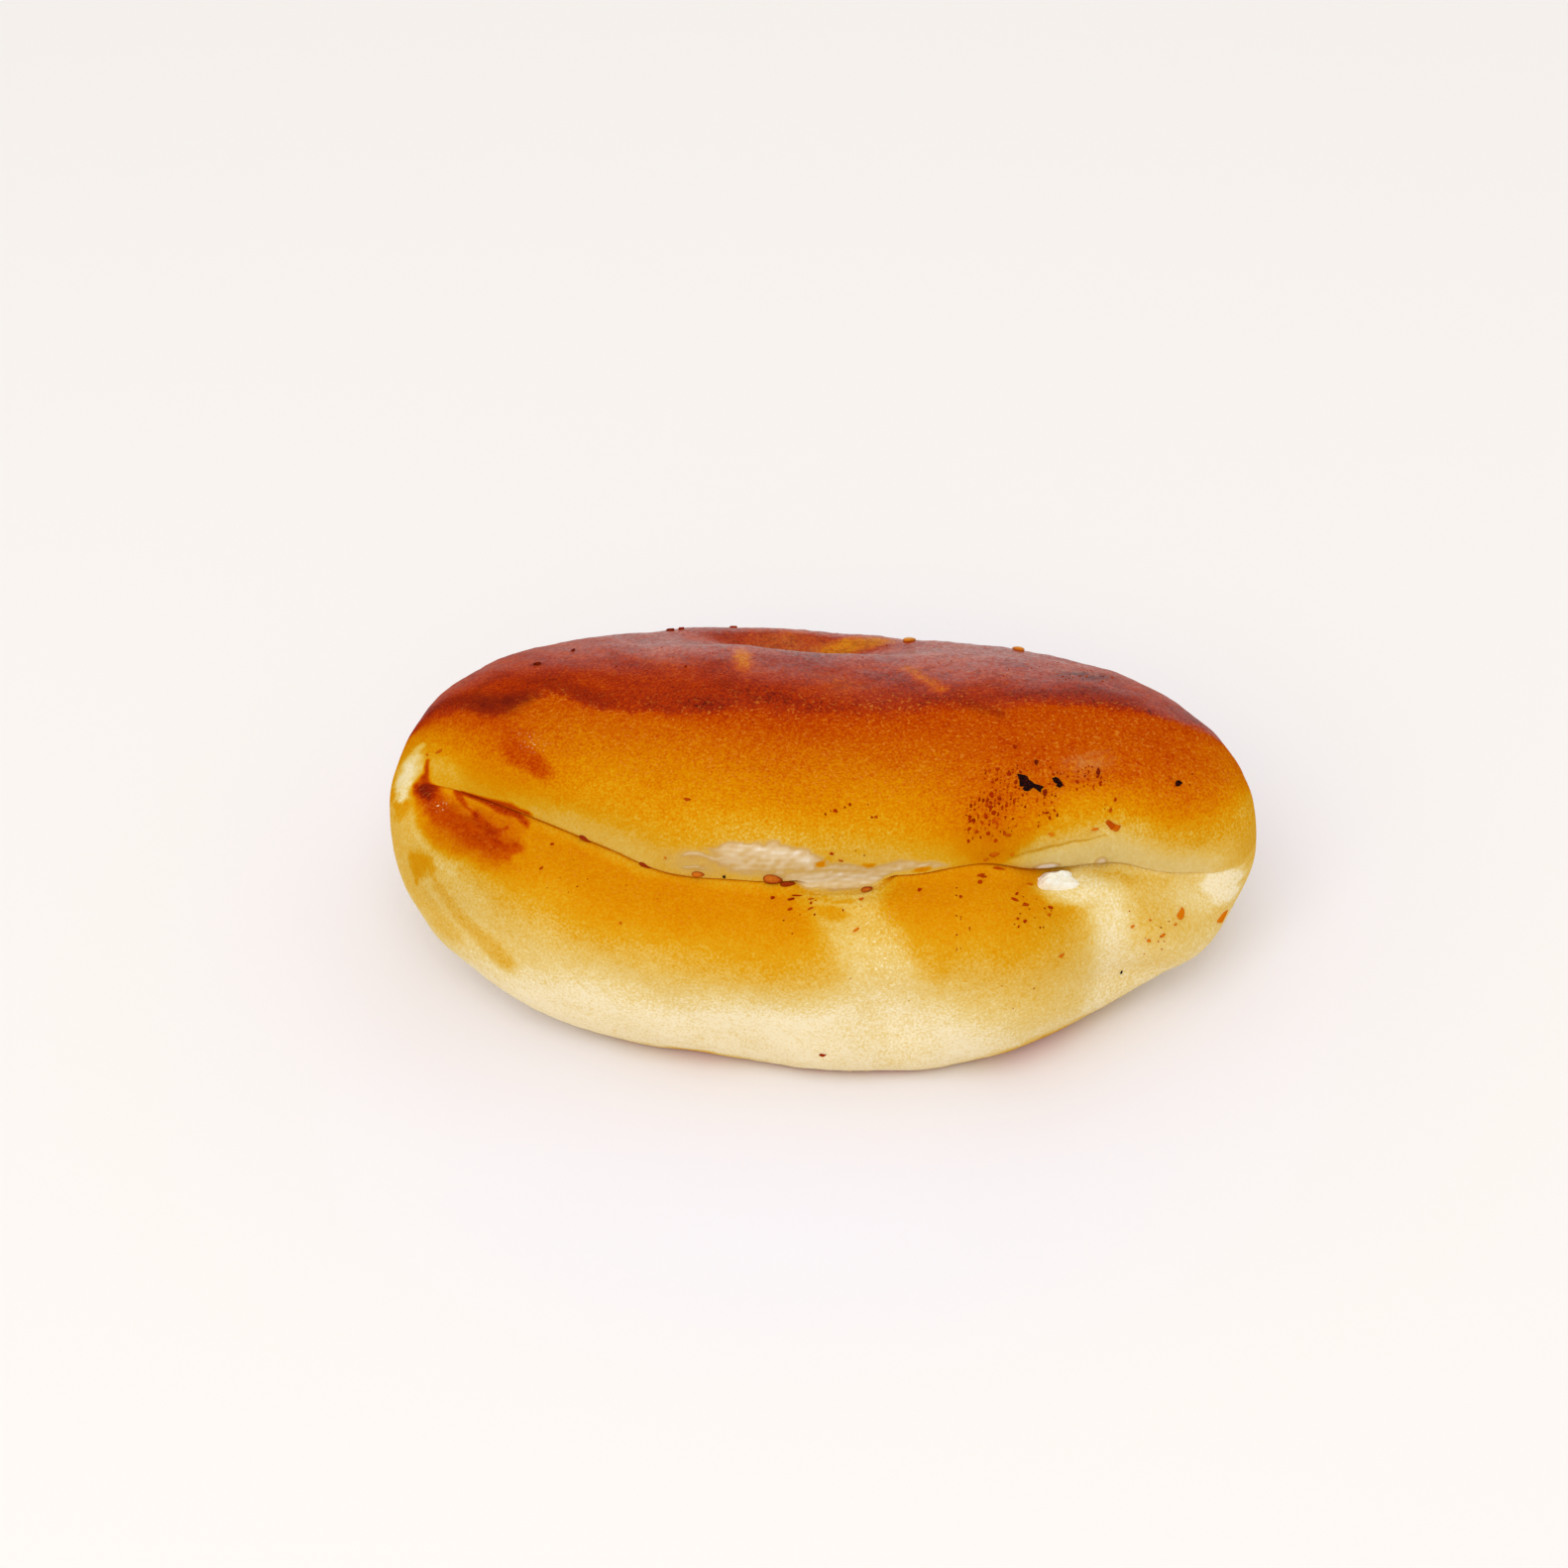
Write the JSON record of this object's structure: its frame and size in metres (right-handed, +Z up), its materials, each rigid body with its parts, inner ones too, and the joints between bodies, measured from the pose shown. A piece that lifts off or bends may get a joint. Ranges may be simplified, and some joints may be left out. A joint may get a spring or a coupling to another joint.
{
  "type": "stuffed bread bun",
  "caption": "Long oval stuffed bun of glazed soft dough, folded over a white cheese filling, with a seam along its front and a few sesame seeds.",
  "frame": {"origin": "centre of the bounding box on the flat underside", "axes": "+X along the bun, from the seam's high end to its low end; -Y is the front with the seam; +Z up"},
  "size_m": [0.136, 0.0807, 0.0455],
  "materials": {
    "crust": "satin, egg-washed; dark red-brown on top, golden on the sides, pale by the seam and at the base",
    "cheese": "moist and crumbly"
  },
  "bodies": {
    "root": {"bun": "crust", "cheese": "cheese"}
  },
  "joints": []
}
